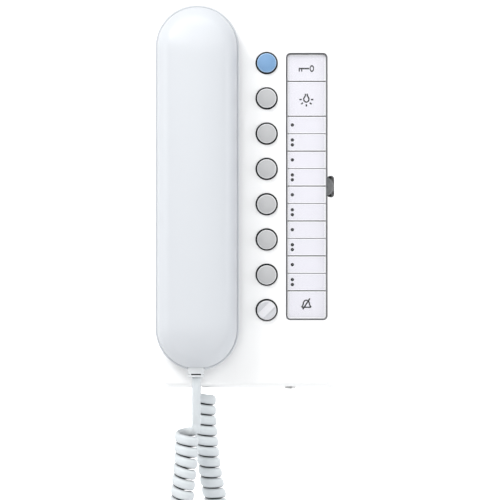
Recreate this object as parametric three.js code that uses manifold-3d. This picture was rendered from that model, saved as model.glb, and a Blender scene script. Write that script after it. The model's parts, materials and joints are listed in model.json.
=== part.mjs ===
// Slimline wall telephone: wall plate, housing with eight keys and a label window, handset and curly cord.
// Every piece is drawn in one front frame (x right, y up, z out of the wall, millimetres, wall at z = 0),
// and the whole phone is then turned so that z up stands in the row's frame and the wall lies behind it.

import * as THREE from 'three';
import { mergeVertices } from 'three/addons/utils/BufferGeometryUtils.js';
import Module from 'manifold-3d';

const wasm = await Module();
wasm.setup();

// ---- driving dimensions ----

const gap = 0.3;
const wall = 2.2;

const housingWidth = 91;
const housingHeight = 202.6;
const bottomY = -housingHeight / 2;
const faceZ = 24;
const coverBackZ = 0.6;
const cornerRadius = 4;
const edgeRound = 1.5;
const insetLeft = 2;
const insetRight = 5;
const insetEnds = 4.6;

const keyCount = 8;
const keyPitch = 17.6;
const keyX = 7.96;
const middleY = 2.2;
const keyRadius = 4.8;
const keyHoleRadius = 5.55;
const keyProud = 1.9;
const keyTravel = 1.2;

const labelX = 27.95;
const labelWidth = 20.8;
const labelHeight = 133.4;
const labelRadius = 2.3;
const labelFloorZ = 21;

const wheelX = 36.7;
const wheelRadius = 5.2;
const wheelBackZ = 16.8;
const wheelFrontZ = 19.6;

const handsetX = -26.4;
const handsetY = 1.5;
const handsetWidth = 41.3;
const handsetLength = 180;
const handsetBackZ = 25.2;
const seamZ = 33.6;
const handsetFrontZ = 46;
const seamInset = 1.1;
const cupOffset = (handsetLength - handsetWidth) / 2;
const earCupRadius = 13.4;
const earCupBackZ = 14.5;
const micCupRadius = 10.5;
const micCupBackZ = 16.5;
const screwOffset = 40;

const recessClearance = 1;
const recessFloorZ = 12.5;

const boardBackZ = 8.4;
const boardFrontZ = 10;
const plateThickness = 2.4;
const frameWidth = 14.8;
const frameHeight = 138.4;

const plungerX = -26.4;
const plungerY = 2;
const speakerX = -23;
const speakerY = 30;
const speakerRadius = 16;
const terminalX = -23;
const terminalY = -30;
const terminalPitch = 7.3;

const plugWidth = 7.7;
const plugDepth = 6.6;
const socketWall = 1.5;
const leadX = -26.9;
const baseLeadX = -27.3;
const baseSocketZ = 12;
const handsetSocketZ = 31.4;

const cableWidth = 4.4;
const cableThickness = 3;
const coilDiameter = 11.8;

// ---- materials ----

function paint(color, roughness = 0.45, metalness = 0) {
  return new THREE.MeshStandardMaterial({ color, roughness, metalness });
}

const whitePlastic = paint('#f6f6f7', 0.4);
const handsetPlastic = paint('#e6e9ef', 0.35);
const greyPlastic = paint('#c3c4c8', 0.45);
const bluePlastic = paint('#7ba6cf', 0.4);
const clearPlastic = new THREE.MeshStandardMaterial({
  color: '#eef0f2', roughness: 0.12, transparent: true, opacity: 0.5,
});
const darkPlastic = paint('#3c3d40', 0.6);
const wheelPlastic = paint('#85878a', 0.55);
const cordPlastic = paint('#e2e6e8', 0.5);
const paper = paint('#f1f0f5', 0.85);
const rubber = paint('#2c2d2f', 0.8);
const board = paint('#1f6b46', 0.55);
const steel = paint('#b5b8bb', 0.35, 1);
const lamp = paint('#d6483c', 0.3);

// ---- solids and booleans ----

function toSolid(geometry) {
  const bare = geometry.clone();
  bare.deleteAttribute('normal');
  bare.deleteAttribute('uv');
  const merged = mergeVertices(bare, 1e-4);
  return new wasm.Manifold(new wasm.Mesh({
    numProp: 3,
    vertProperties: Float32Array.from(merged.attributes.position.array),
    triVerts: Uint32Array.from(merged.index.array),
  }));
}

function toGeometry(solid) {
  const mesh = solid.getMesh();
  const geometry = new THREE.BufferGeometry();
  geometry.setAttribute('position', new THREE.BufferAttribute(Float32Array.from(mesh.vertProperties), 3));
  geometry.setIndex(new THREE.BufferAttribute(Uint32Array.from(mesh.triVerts), 1));
  geometry.computeVertexNormals();
  return geometry;
}

function cut(solid, tools) {
  return tools.reduce((rest, tool) => rest.subtract(tool), solid);
}

function join(solids) {
  return solids.reduce((whole, solid) => whole.add(solid));
}

function piece(name, body, material, parent) {
  const geometry = body.isBufferGeometry ? body : toGeometry(body);
  const mesh = new THREE.Mesh(geometry, material);
  mesh.name = name;
  parent.add(mesh);
  return mesh;
}

// ---- outlines ----

function roundedRect(width, height, radius, x = 0, y = 0) {
  const left = x - width / 2;
  const right = x + width / 2;
  const bottom = y - height / 2;
  const top = y + height / 2;
  const shape = new THREE.Shape();
  shape.moveTo(left + radius, bottom);
  shape.lineTo(right - radius, bottom);
  shape.absarc(right - radius, bottom + radius, radius, -Math.PI / 2, 0);
  shape.lineTo(right, top - radius);
  shape.absarc(right - radius, top - radius, radius, 0, Math.PI / 2);
  shape.lineTo(left + radius, top);
  shape.absarc(left + radius, top - radius, radius, Math.PI / 2, Math.PI);
  shape.lineTo(left, bottom + radius);
  shape.absarc(left + radius, bottom + radius, radius, Math.PI, Math.PI * 1.5);
  return shape;
}

// The handset's outline: two half circles joined by straight sides.
function pebble(inset = 0) {
  const radius = handsetWidth / 2 - inset;
  const shape = new THREE.Shape();
  shape.absarc(0, cupOffset, radius, 0, Math.PI);
  shape.absarc(0, -cupOffset, radius, Math.PI, 2 * Math.PI);
  return shape;
}

// ---- prisms between two depths ----

function prism(shape, from, to, curveSegments = 3) {
  const depth = to - from;
  const geometry = new THREE.ExtrudeGeometry(shape, { depth, bevelEnabled: false, curveSegments });
  return toSolid(geometry.translate(0, 0, from));
}

function softPrism(shape, from, to, { round, drop = round, steps = 2, curveSegments = 4, shapeIt }) {
  const geometry = new THREE.ExtrudeGeometry(shape, {
    depth: to - from - 2 * drop,
    bevelEnabled: true,
    bevelThickness: drop,
    bevelSize: round,
    bevelOffset: -round,
    bevelSegments: steps,
    curveSegments,
  });
  geometry.translate(0, 0, from + drop);
  if (shapeIt) {
    shapeIt(geometry);
  }
  return toSolid(geometry);
}

function block(width, height, from, to, x = 0, y = 0) {
  return toSolid(new THREE.BoxGeometry(width, height, to - from).translate(x, y, (from + to) / 2));
}

function disc(radius, from, to, x = 0, y = 0, sides = 16) {
  const geometry = new THREE.CylinderGeometry(radius, radius, to - from, sides);
  return toSolid(geometry.rotateX(Math.PI / 2).translate(x, y, (from + to) / 2));
}

function turned(points, sides = 16) {
  const profile = points.map(([radius, z]) => new THREE.Vector2(radius, z));
  return toSolid(new THREE.LatheGeometry(profile, sides).rotateX(Math.PI / 2));
}

function placed(solid, x, y) {
  return solid.translate([x, y, 0]);
}

function ring(outer, inner, from, to, x = 0, y = 0, sides = 16) {
  return disc(outer, from, to, x, y, sides).subtract(disc(inner, from - 1, to + 1, x, y, sides));
}

function keyY(index) {
  return middleY + keyPitch * ((keyCount - 1) / 2 - index);
}

// ---- wall plate ----

const boardScrewPlaces = [[34, 84], [-34, 50], [34, -84], [10, -84]];
const wallHolePlaces = [[0, 30], [0, -30], [-30, 90], [30, 92], [30, -92]];
const cableOpening = { x: -23, y: -67, width: 28, height: 24 };

function makeWallPlate(parent) {
  const plateWidth = housingWidth - 2 * wall - 1.2;
  const plateHeight = housingHeight - 2 * wall - 1.2;
  const bossRadius = 3;
  const pilotRadius = 1.3;
  const wallSlot = { width: 9, height: 4.5, radius: 2.2 };
  const bosses = boardScrewPlaces.map(([x, y]) => disc(bossRadius, 1, boardBackZ - gap, x, y, 10));
  const pilots = boardScrewPlaces.map(([x, y]) => disc(pilotRadius, plateThickness, boardBackZ, x, y, 8));
  const holes = wallHolePlaces.map(
    ([x, y]) => prism(roundedRect(wallSlot.width, wallSlot.height, wallSlot.radius, x, y), -1, 4));
  const opening = prism(
    roundedRect(cableOpening.width, cableOpening.height, 3, cableOpening.x, cableOpening.y), -1, 4);
  const plate = prism(roundedRect(plateWidth, plateHeight, 3), 0, plateThickness);
  piece('wall_plate', cut(join([plate, ...bosses]), [...pilots, ...holes, opening]), whitePlastic, parent);
}

// ---- housing cover ----

// Draws the sides of the housing in towards the front, each by its own amount.
function draft(geometry) {
  const position = geometry.attributes.position;
  for (let i = 0; i < position.count; i += 1) {
    const rise = position.getZ(i) / faceZ;
    const across = position.getX(i) / housingWidth + 0.5;
    const x = position.getX(i) + rise * (insetLeft * (1 - across) - insetRight * across);
    const y = position.getY(i) * (1 - (rise * insetEnds * 2) / housingHeight);
    position.setXY(i, x, y);
  }
}

// The round recesses that the handset's two cups lie in, and the cans that form their walls inside.
function recess(radius, floorZ, y) {
  return disc(radius + recessClearance, floorZ, faceZ + 1, handsetX, handsetY + y, 24);
}

function recessCan(radius, floorZ, y) {
  const canWall = 2;
  const canTopZ = faceZ - wall + 0.5;
  return disc(radius + recessClearance + canWall, floorZ - canWall, canTopZ, handsetX, handsetY + y, 24);
}

const wheelNotch = { left: 38, right: 41.95, halfHeight: 5.35, corner: 1.6, floorZ: 12 };
const cableSlot = { width: 5, frontZ: 14.1 };
const plungerHoleRadius = 3.3;
const screwX = 20;
const screwZ = 9;

// An upright round bar or hole for the screw that holds the cover at its foot.
function upright(radius, length, x, y, z) {
  return toSolid(new THREE.CylinderGeometry(radius, radius, length, 16).translate(x, y, z));
}

function makeHousingCover(parent) {
  const below = -3;
  const outline = roundedRect(housingWidth, housingHeight, cornerRadius);
  const inline = roundedRect(housingWidth - 2 * wall, housingHeight - 2 * wall, cornerRadius - 1);
  const outer = softPrism(outline, below, faceZ, { round: edgeRound, shapeIt: draft });
  const inner = softPrism(inline, below - 3, faceZ - wall, { round: 1, steps: 1, shapeIt: draft });
  const cups = [
    recessCan(earCupRadius, recessFloorZ, cupOffset),
    recessCan(micCupRadius, recessFloorZ + 2, -cupOffset),
  ];
  const labelBed = prism(
    roundedRect(labelWidth + 2.4, labelHeight + 2.4, labelRadius + 1, labelX - 0.6, middleY),
    labelFloorZ - 0.9, faceZ - wall + 0.1);
  const shell = join([outer.subtract(inner), ...cups, labelBed]);

  const speakerSlots = [-10, -5, 0, 5, 10].map(
    (y) => prism(roundedRect(18, 2, 0.95, speakerX, speakerY + y), faceZ - wall - 1, faceZ + 1, 3));
  const keyHoles = Array.from({ length: keyCount },
    (_, i) => disc(keyHoleRadius, faceZ - wall - 1, faceZ + 1, keyX, keyY(i), 24));
  const notchShape = roundedRect(wheelNotch.right - wheelNotch.left, 2 * wheelNotch.halfHeight,
    wheelNotch.corner, (wheelNotch.left + wheelNotch.right) / 2, middleY);
  const notch = prism(notchShape, wheelNotch.floorZ, faceZ + 1);
  const cableExit = block(cableSlot.width, 10, below - 1, cableSlot.frontZ, baseLeadX, bottomY + 1);
  const screwHole = upright(1.6, 12, screwX, bottomY + 2.5, screwZ);
  const screwSeat = upright(3, 4.9, screwX, bottomY - 0.05, screwZ);
  const voids = [
    recess(earCupRadius, recessFloorZ, cupOffset),
    recess(micCupRadius, recessFloorZ + 2, -cupOffset),
    prism(roundedRect(labelWidth, labelHeight, labelRadius, labelX, middleY), labelFloorZ, faceZ + 1),
    disc(plungerHoleRadius, faceZ - wall - 1, faceZ + 1, plungerX, plungerY),
    notch,
    cableExit,
    screwHole,
    screwSeat,
    block(housingWidth + 9, housingHeight + 9, below - 1, coverBackZ),
    ...speakerSlots,
    ...keyHoles,
  ];
  piece('housing_cover', cut(shell, voids), whitePlastic, parent);
}

function makeCoverScrew(parent) {
  const shank = upright(1.2, 7, screwX, bottomY + 5.5, screwZ);
  const head = upright(2.6, 1, screwX, bottomY + 1.6, screwZ);
  piece('cover_screw', join([shank, head]), steel, parent);
}

// ---- keys ----

function makeKeyFrame(parent) {
  const holes = Array.from({ length: keyCount },
    (_, i) => disc(keyRadius + gap, 19, 23, keyX, keyY(i), 20));
  const plate = prism(roundedRect(frameWidth, frameHeight, 2, keyX, middleY), 20, faceZ - wall - gap);
  piece('key_frame', cut(plate, holes), darkPlastic, parent);
}

function makeKeyMat(parent) {
  const sheetFrontZ = 12;
  const postTopZ = 20.5;
  const lampHole = disc(2, boardFrontZ - 1, sheetFrontZ + 1, keyX, keyY(keyCount - 1));
  const posts = Array.from({ length: keyCount - 1 },
    (_, i) => disc(2.4, sheetFrontZ - 1, postTopZ, keyX, keyY(i), 10));
  const sheet = prism(
    roundedRect(frameWidth, frameHeight, 2, keyX, middleY), boardFrontZ + gap, sheetFrontZ);
  piece('key_mat', join([sheet, ...posts]).subtract(lampHole), rubber, parent);
}

const capBackZ = 18.5;
const capFrontZ = faceZ + keyProud;

function keyCap() {
  const flangeRadius = keyRadius + 1.4;
  const hollowRadius = 3.2;
  const ceilingZ = 24.2;
  return turned([
    [0, ceilingZ], [hollowRadius, ceilingZ], [hollowRadius, capBackZ],
    [flangeRadius, capBackZ], [flangeRadius, capBackZ + keyTravel],
    [keyRadius, capBackZ + keyTravel], [keyRadius, capFrontZ - 0.5],
    [keyRadius - 0.5, capFrontZ], [0, capFrontZ],
  ], 20);
}

// The raised rib across the last key, from its lower left to its upper right.
function diagonalRib() {
  const rib = new THREE.BoxGeometry(9, 3.6, 1.2).rotateZ(Math.PI / 4).translate(0, 0, capFrontZ + 0.1);
  return toSolid(rib).intersect(disc(keyRadius - 0.6, capFrontZ - 1, capFrontZ + 1, 0, 0, 20));
}

function makeKeyCaps(parent) {
  for (let i = 0; i < keyCount; i += 1) {
    const isFirst = i === 0;
    const isLast = i === keyCount - 1;
    const cap = isLast ? keyCap().add(diagonalRib()) : keyCap();
    const material = isFirst ? bluePlastic : isLast ? clearPlastic : greyPlastic;
    const mesh = piece(`key_cap_${i + 1}`, cap, material, parent);
    mesh.position.set(keyX, keyY(i), 0);
  }
}

function makeStatusLight(parent) {
  const y = keyY(keyCount - 1);
  const lampTopZ = 15;
  const guideTopZ = 22.6;
  piece('status_led', disc(1.5, boardFrontZ + gap, lampTopZ, keyX, y, 16), lamp, parent);
  piece('light_guide', disc(2.4, lampTopZ + gap, guideTopZ, keyX, y, 16), clearPlastic, parent);
}

// ---- label window ----

const trayFloorZ = 21.9;
const trayRim = 0.4;

function makeLabel(parent) {
  const rimRadius = labelRadius - gap;
  const innerWidth = labelWidth - 2 * gap - 2 * trayRim;
  const innerHeight = labelHeight - 2 * gap - 2 * trayRim;
  const outside = prism(
    roundedRect(labelWidth - 2 * gap, labelHeight - 2 * gap, rimRadius, labelX, middleY),
    labelFloorZ + gap, faceZ - 0.4);
  const inside = prism(
    roundedRect(innerWidth, innerHeight, rimRadius - trayRim, labelX, middleY), trayFloorZ, faceZ + 1);
  piece('label_tray', outside.subtract(inside), darkPlastic, parent);

  const insertRadius = rimRadius - trayRim - gap;
  const insertShape = roundedRect(innerWidth - 2 * gap, innerHeight - 2 * gap, insertRadius, labelX, middleY);
  piece('label_strip', prism(insertShape, trayFloorZ + gap, trayFloorZ + 0.6), paper, parent);
  piece('label_window', prism(insertShape, trayFloorZ + 0.9, faceZ - 0.2), clearPlastic, parent);
}

// ---- volume thumbwheel ----

function makeVolume(parent) {
  const shaftRadius = 1.5;
  const potWidth = 8.4;
  const potHeight = 10;
  const body = block(potWidth, potHeight, boardFrontZ + gap, wheelBackZ - gap, wheelX - 0.5, middleY);
  const shaft = disc(shaftRadius, wheelBackZ - 1, wheelFrontZ - 0.6, wheelX, middleY);
  piece('volume_pot', body.add(shaft), darkPlastic, parent);

  const teeth = 20;
  const outline = new THREE.Shape();
  for (let i = 0; i < teeth * 2; i += 1) {
    const angle = (i * Math.PI) / teeth;
    const radius = i % 2 ? wheelRadius - 0.25 : wheelRadius;
    outline.lineTo(radius * Math.cos(angle), radius * Math.sin(angle));
  }
  outline.closePath();
  const wheel = prism(outline, wheelBackZ, wheelFrontZ).subtract(disc(shaftRadius + gap, 10, 30));
  const mesh = piece('volume_wheel', wheel, wheelPlastic, parent);
  mesh.position.set(wheelX, middleY, 0);
}

// ---- board, terminals, ringer ----

function makeBoard(parent) {
  const full = block(76, 132, boardBackZ, boardFrontZ, 0.5, 21);
  const foot = block(40, 50, boardBackZ, boardFrontZ, 18.5, -66);
  const holes = boardScrewPlaces.map(([x, y]) => disc(1.8, boardBackZ - 1, boardFrontZ + 1, x, y, 8));
  piece('main_board', cut(full.add(foot), holes), board, parent);
  boardScrewPlaces.forEach(([x, y], i) => {
    const screw = turned([[0, 4], [1, 4], [1, 10.3], [2.6, 10.3], [2.6, 11.8], [0, 11.8]], 8);
    piece(`board_screw_${i + 1}`, screw, steel, parent).position.set(x, y, 0);
  });
}

function makeTerminals(parent) {
  const topZ = 18;
  const wellFloorZ = 14;
  const xs = [-1.5, -0.5, 0.5, 1.5].map((step) => terminalX + step * terminalPitch);
  const wells = xs.map((x) => disc(2.2, wellFloorZ, topZ + 1, x, terminalY, 10));
  const body = block(30, 12, boardFrontZ + gap, topZ, terminalX, terminalY);
  piece('terminal_block', cut(body, wells), whitePlastic, parent);
  xs.forEach((x, i) => {
    const screw = disc(1.8, wellFloorZ + gap, topZ - 0.8, x, terminalY, 8);
    piece(`terminal_screw_${i + 1}`, screw, steel, parent);
  });
}

function makeRinger(parent) {
  const magnetRadius = 8;
  const frameZ = 20.6;
  const speaker = turned([
    [0, 13], [magnetRadius, 13], [magnetRadius, 17], [speakerRadius, frameZ - 1],
    [speakerRadius, frameZ], [0, frameZ],
  ], 20);
  piece('ringer_speaker', speaker, steel, parent).position.set(speakerX, speakerY, 0);
  const sealTopZ = faceZ - wall - gap;
  const seal = ring(speakerRadius, speakerRadius - 2, frameZ + gap, sealTopZ, speakerX, speakerY, 20);
  piece('ringer_gasket', seal, rubber, parent);
}

// ---- hook switch ----

function makeHook(parent) {
  const stem = 2.6;
  const tail = 1.6;
  const tailZ = 13.2;
  const flangeZ = 17;
  const tipZ = 24.9;
  const plunger = turned([
    [0, tailZ], [tail, tailZ], [tail, flangeZ], [4.5, flangeZ], [4.5, flangeZ + 1.4],
    [stem, flangeZ + 1.4], [stem, tipZ - 0.3], [stem - 0.3, tipZ], [0, tipZ],
  ]);
  piece('hook_plunger', placed(plunger, plungerX, plungerY), greyPlastic, parent);
  piece('hook_spring', ring(3.5, 2.2, 13, flangeZ - gap, plungerX, plungerY), steel, parent);
  const switchTopZ = tailZ - 0.5;
  piece('hook_switch', block(12, 8, boardFrontZ + gap, switchTopZ, plungerX, plungerY), darkPlastic, parent);
}

// ---- handset, in its own frame centred on its outline ----

function handsetDome(inset) {
  const front = handsetFrontZ - inset;
  const crownRadius = 58;
  const endRadius = 30;
  const straight = 66;
  const halfLength = handsetLength / 2;
  const body = softPrism(pebble(seamInset + inset), seamZ - 12, front, {
    round: 5, drop: 6, steps: 3, curveSegments: 14,
  });
  const crown = new THREE.CylinderGeometry(crownRadius, crownRadius, 2 * handsetLength, 64);
  crown.translate(0, 0, front - crownRadius);

  const side = new THREE.Shape();
  side.moveTo(-halfLength, 0);
  side.lineTo(halfLength, 0);
  side.lineTo(halfLength, front - endRadius);
  side.lineTo(straight + endRadius, front - endRadius);
  side.absarc(straight, front - endRadius, endRadius, 0, Math.PI / 2);
  side.absarc(-straight, front - endRadius, endRadius, Math.PI / 2, Math.PI);
  side.lineTo(-halfLength, front - endRadius);
  const across = { depth: handsetWidth, bevelEnabled: false, curveSegments: 8 };
  const rocker = new THREE.ExtrudeGeometry(side, across);
  rocker.translate(0, 0, -handsetWidth / 2);
  rocker.rotateX(Math.PI / 2);
  rocker.rotateZ(Math.PI / 2);
  return body.intersect(toSolid(crown)).intersect(toSolid(rocker));
}

function handsetSocketMouth() {
  return block(plugWidth + 2 * gap, 20, handsetSocketZ - plugDepth / 2 - gap,
    handsetSocketZ + plugDepth / 2 + gap, leadX - handsetX, -handsetLength / 2);
}

function makeHandsetShells(parent) {
  const frontSeamZ = seamZ + gap;
  const everything = block(100, 300, 0, frontSeamZ);
  const bosses = [-screwOffset, screwOffset].map((y) => disc(3, seamZ - 2, 45, 0, y, 8));
  const outer = handsetDome(0);
  const frontShell = outer.subtract(handsetDome(wall)).add(join(bosses).intersect(outer));
  const pilots = [-screwOffset, screwOffset].map((y) => disc(1.3, 20, 42, 0, y, 8));
  piece('handset_front_shell', cut(frontShell, [everything, ...pilots, handsetSocketMouth()]),
    handsetPlastic, parent);

  const tub = softPrism(pebble(), handsetBackZ, seamZ + 6, { round: 3, curveSegments: 14 });
  const earCup = disc(earCupRadius, earCupBackZ, handsetBackZ + 2, 0, cupOffset, 24);
  const micCup = disc(micCupRadius, micCupBackZ, handsetBackZ + 2, 0, -cupOffset, 24);
  const soundHoles = [0, 1, 2, 3, 4, 5].map((i) => {
    const angle = (i * Math.PI) / 3;
    return disc(1, 10, 30, 5 * Math.cos(angle), cupOffset + 5 * Math.sin(angle), 6);
  });
  const sinks = [-screwOffset, screwOffset].flatMap(
    (y) => [disc(1.6, 20, 40, 0, y, 8), disc(2.9, 20, handsetBackZ + 1.4, 0, y, 12)]);
  const seats = [-screwOffset, screwOffset].map((y) => disc(4.5, handsetBackZ + 1, 31, 0, y, 12));
  const hollow = prism(pebble(wall), handsetBackZ + 2, seamZ + 9, 14);
  const backShell = cut(join([tub, earCup, micCup]), [hollow]).add(join(seats));
  const openings = [
    disc(earCupRadius - 1.7, earCupBackZ + 1.4, handsetBackZ + 3, 0, cupOffset, 24),
    disc(micCupRadius - 1.6, micCupBackZ + 1.4, handsetBackZ + 3, 0, -cupOffset, 24),
    block(100, 300, seamZ, seamZ + 20),
    disc(1, 10, 30, 0, cupOffset, 6),
    disc(1, 10, 30, 0, -cupOffset, 6),
    handsetSocketMouth(),
  ];
  piece('handset_back_shell', cut(backShell, [...openings, ...soundHoles, ...sinks]), handsetPlastic, parent);
}

function makeHandsetInsides(parent) {
  const earFloorZ = earCupBackZ + 1.4;
  piece('ear_gasket', ring(11, 8, earFloorZ + gap, earFloorZ + 1, 0, cupOffset), rubber, parent);
  piece('ear_capsule', disc(11, earFloorZ + 1.3, 23, 0, cupOffset), darkPlastic, parent);
  const micFloorZ = micCupBackZ + 1.4;
  piece('mic_boot', ring(8, 5.2, micFloorZ + gap, 24, 0, -cupOffset), rubber, parent);
  piece('mic_capsule', disc(4.9, micFloorZ + 0.6, 24, 0, -cupOffset), steel, parent);
  piece('handset_weight', block(18, 50, handsetBackZ + 2.3, 33), steel, parent);
  [-screwOffset, screwOffset].forEach((y, i) => {
    const screw = turned([
      [0, handsetBackZ + 0.1], [2.6, handsetBackZ + 0.1], [2.6, handsetBackZ + 1.1],
      [1, handsetBackZ + 1.1], [1, 40], [0, 40],
    ], 8);
    piece(`handset_screw_${i + 1}`, screw, steel, parent).position.set(0, y, 0);
  });
}

// ---- cord sockets and plugs ----

// A socket with its mouth at the bottom; one whose backZ lies in the mouth is open at the back.
function socketAt(x, z, bottom, top, backZ = z - plugDepth / 2 - socketWall) {
  const height = top - bottom;
  const middle = (top + bottom) / 2;
  const frontZ = z + plugDepth / 2 + socketWall;
  const free = plugDepth / 2 + gap;
  const outside = block(plugWidth + 2 * socketWall, height, backZ, frontZ, x, middle);
  const mouth = block(plugWidth + 2 * gap, height - 1.5, z - free, z + free, x, middle - 1.5);
  return outside.subtract(mouth);
}

function plugAt(x, z, bottom, top) {
  const half = plugDepth / 2;
  return block(plugWidth, top - bottom, z - half, z + half, x, (top + bottom) / 2);
}

const handsetPlugEnd = -91.7;
const basePlugEnd = -95.6;

function makeSockets(parent) {
  piece('base_socket', socketAt(baseLeadX, baseSocketZ, -93.6, -82), darkPlastic, parent);
  piece('base_plug', plugAt(baseLeadX, baseSocketZ, basePlugEnd, -84.5), clearPlastic, parent);
  piece('handset_socket', socketAt(leadX, handsetSocketZ, -82.6, -71, 27.9), darkPlastic, parent);
  piece('handset_plug', plugAt(leadX, handsetSocketZ, handsetPlugEnd, -74.5), clearPlastic, parent);
}

// ---- cord ----

const leadEndY = -117.7;
const frontLead = [
  [leadX, handsetPlugEnd - gap, handsetSocketZ], [leadX, -105, handsetSocketZ], [leadX, leadEndY, 32],
];
const coilRoute = [
  [-31.6, -118, 32], [-32, -132, 32], [-33.4, -146, 31.6], [-35.2, -165, 30.5], [-36.3, -182, 28.8],
  [-35.6, -195.5, 26.7], [-32.4, -206.5, 24.2], [-25.6, -212.5, 21.4], [-18.8, -208.5, 18.4],
  [-14.8, -198, 16], [-13.9, -184, 14], [-15.5, -168, 12.7], [-18.6, -152.5, 12.1], [-20.5, -142, 12],
  [-22.2, -127, 12], [-23.3, -112, 12], [-23.5, -106.5, 12],
];
const baseLead = [
  [baseLeadX, basePlugEnd - gap, 12], [baseLeadX, -99, 12], [baseLeadX, -102.6, 12],
  [baseLeadX + 0.7, -105.5, 12],
];
const frontShare = 0.22;

function curveThrough(points) {
  return new THREE.CatmullRomCurve3(points.map(([x, y, z]) => new THREE.Vector3(x, y, z)));
}

// The same curve, but only from one share of its length to another.
function stretch(curve, from, to, count) {
  const points = Array.from({ length: count + 1 },
    (_, i) => curve.getPointAt(from + ((to - from) * i) / count));
  return new THREE.CatmullRomCurve3(points);
}

function cable(route, depth, width, steps) {
  const section = new THREE.Shape();
  section.absellipse(0, 0, depth / 2, width / 2, 0, Math.PI * 2);
  return new THREE.ExtrudeGeometry(section, { steps, extrudePath: route, curveSegments: 8 });
}

function makeCord(parent) {
  const coil = curveThrough(coilRoute);
  const gapShare = (2 * gap) / coil.getLength();
  const front = stretch(coil, 0, frontShare, 12);
  const rear = stretch(coil, frontShare + gapShare, 1, 24);
  const handsetLead = cable(curveThrough(frontLead), cableThickness, cableWidth, 4);
  const housingLead = cable(curveThrough(baseLead), cableThickness, cableWidth, 3);
  piece('cord_lead_handset', handsetLead, cordPlastic, parent);
  piece('cord_coil_front', cable(front, coilDiameter, coilDiameter, 4), cordPlastic, parent);
  piece('cord_coil_rear', cable(rear, coilDiameter, coilDiameter, 14), cordPlastic, parent);
  piece('cord_lead_base', housingLead, cordPlastic, parent);
}

// ---- assembly ----

const phone = new THREE.Group();
const handset = new THREE.Group();
handset.position.set(handsetX, handsetY, 0);
phone.add(handset);

makeWallPlate(phone);
makeHousingCover(phone);
makeCoverScrew(phone);
makeKeyFrame(phone);
makeKeyMat(phone);
makeKeyCaps(phone);
makeStatusLight(phone);
makeLabel(phone);
makeVolume(phone);
makeBoard(phone);
makeTerminals(phone);
makeRinger(phone);
makeHook(phone);
makeHandsetShells(handset);
makeHandsetInsides(handset);
makeSockets(phone);
makeCord(phone);

phone.rotation.x = Math.PI / 2;

export default phone;
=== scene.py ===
import json
import math

import bmesh
import bpy
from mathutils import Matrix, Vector


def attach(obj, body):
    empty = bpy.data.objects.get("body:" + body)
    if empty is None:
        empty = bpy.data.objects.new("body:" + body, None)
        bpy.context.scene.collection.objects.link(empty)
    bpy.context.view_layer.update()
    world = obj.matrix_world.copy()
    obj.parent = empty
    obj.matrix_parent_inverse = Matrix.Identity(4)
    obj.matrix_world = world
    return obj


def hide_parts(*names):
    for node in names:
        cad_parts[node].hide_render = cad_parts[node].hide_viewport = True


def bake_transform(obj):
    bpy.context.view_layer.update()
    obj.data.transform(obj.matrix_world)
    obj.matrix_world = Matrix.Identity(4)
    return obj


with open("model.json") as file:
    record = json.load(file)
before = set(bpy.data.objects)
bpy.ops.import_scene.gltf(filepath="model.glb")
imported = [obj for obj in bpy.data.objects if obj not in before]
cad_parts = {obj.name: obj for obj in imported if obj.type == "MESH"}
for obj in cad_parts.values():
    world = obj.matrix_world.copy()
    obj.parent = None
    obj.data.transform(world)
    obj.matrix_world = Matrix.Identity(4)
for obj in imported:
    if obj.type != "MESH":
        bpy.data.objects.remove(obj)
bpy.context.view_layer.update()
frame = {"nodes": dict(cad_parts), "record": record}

mm = 0.001

# Shapes are worked out in the front view, in millimetres: x to the right, up the wall, out from the wall.
def place(x, up, out):
    return Vector((x * mm, -out * mm, up * mm))


view = {
    'distance': 800,     # from the wall to the lens
    'aside': -0.36,
    'lens': 112,
    'shift': -0.118,     # the frame is taken low, with the lens held level
}

lights = {
    'front': {'at': (-150, 560, 1420), 'size': 1400, 'power': 9.5, 'colour': (1.0, 0.998, 0.99)},
    'key': {'at': (-930, 1350, 1000), 'size': 560, 'power': 17.5, 'colour': (1.0, 0.998, 0.99)},
    'top': {'at': (-150, 1500, 360), 'size': 1000, 'power': 8, 'colour': (1.0, 1.0, 1.0)},
    'left': {'at': (-1500, 250, 420), 'size': 1000, 'power': 5, 'colour': (1.0, 1.0, 1.0)},
    'right': {'at': (1400, 200, 420), 'size': 1000, 'power': 8.5, 'colour': (0.98, 0.99, 1.0)},
    'back': {'at': (700, 700, -1200), 'size': 1200, 'power': 6, 'colour': (1.0, 1.0, 1.0)},
}

room = {
    'skyColour': (0.96, 0.98, 1.0),
    'skyStrength': 0.36,
    'floorUnder': 900,     # below the cord's lowest turn
    'wallBehind': 2600,
    'reach': 9000,
    'bend': 600,
    'floorGlow': 0.12,
    'wallGlow': 0.78,
}


def makeCamera():
    data = bpy.data.cameras.new('camera')
    data.lens = view['lens']
    data.sensor_width = 36
    data.shift_y = view['shift']
    camera = bpy.data.objects.new('camera', data)
    camera.location = place(view['aside'], 0, view['distance'])
    camera.rotation_euler = (math.radians(90), 0, 0)
    bpy.context.scene.collection.objects.link(camera)
    bpy.context.scene.camera = camera


def makeLights():
    for name, say in lights.items():
        data = bpy.data.lights.new(name + 'Light', 'AREA')
        data.shape = 'DISK'
        data.size = say['size'] * mm
        data.energy = say['power']
        data.color = say['colour']
        lamp = bpy.data.objects.new(name + 'Light', data)
        lamp.location = place(*say['at'])
        lamp.rotation_euler = (-lamp.location).to_track_quat('-Z', 'Y').to_euler()
        bpy.context.scene.collection.objects.link(lamp)
    world = bpy.data.worlds.new('sky')
    world.use_nodes = True
    sky = world.node_tree.nodes['Background']
    sky.inputs['Color'].default_value = (*room['skyColour'], 1)
    sky.inputs['Strength'].default_value = room['skyStrength']
    bpy.context.scene.world = world
    bpy.context.scene.view_settings.view_transform = 'Standard'


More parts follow.
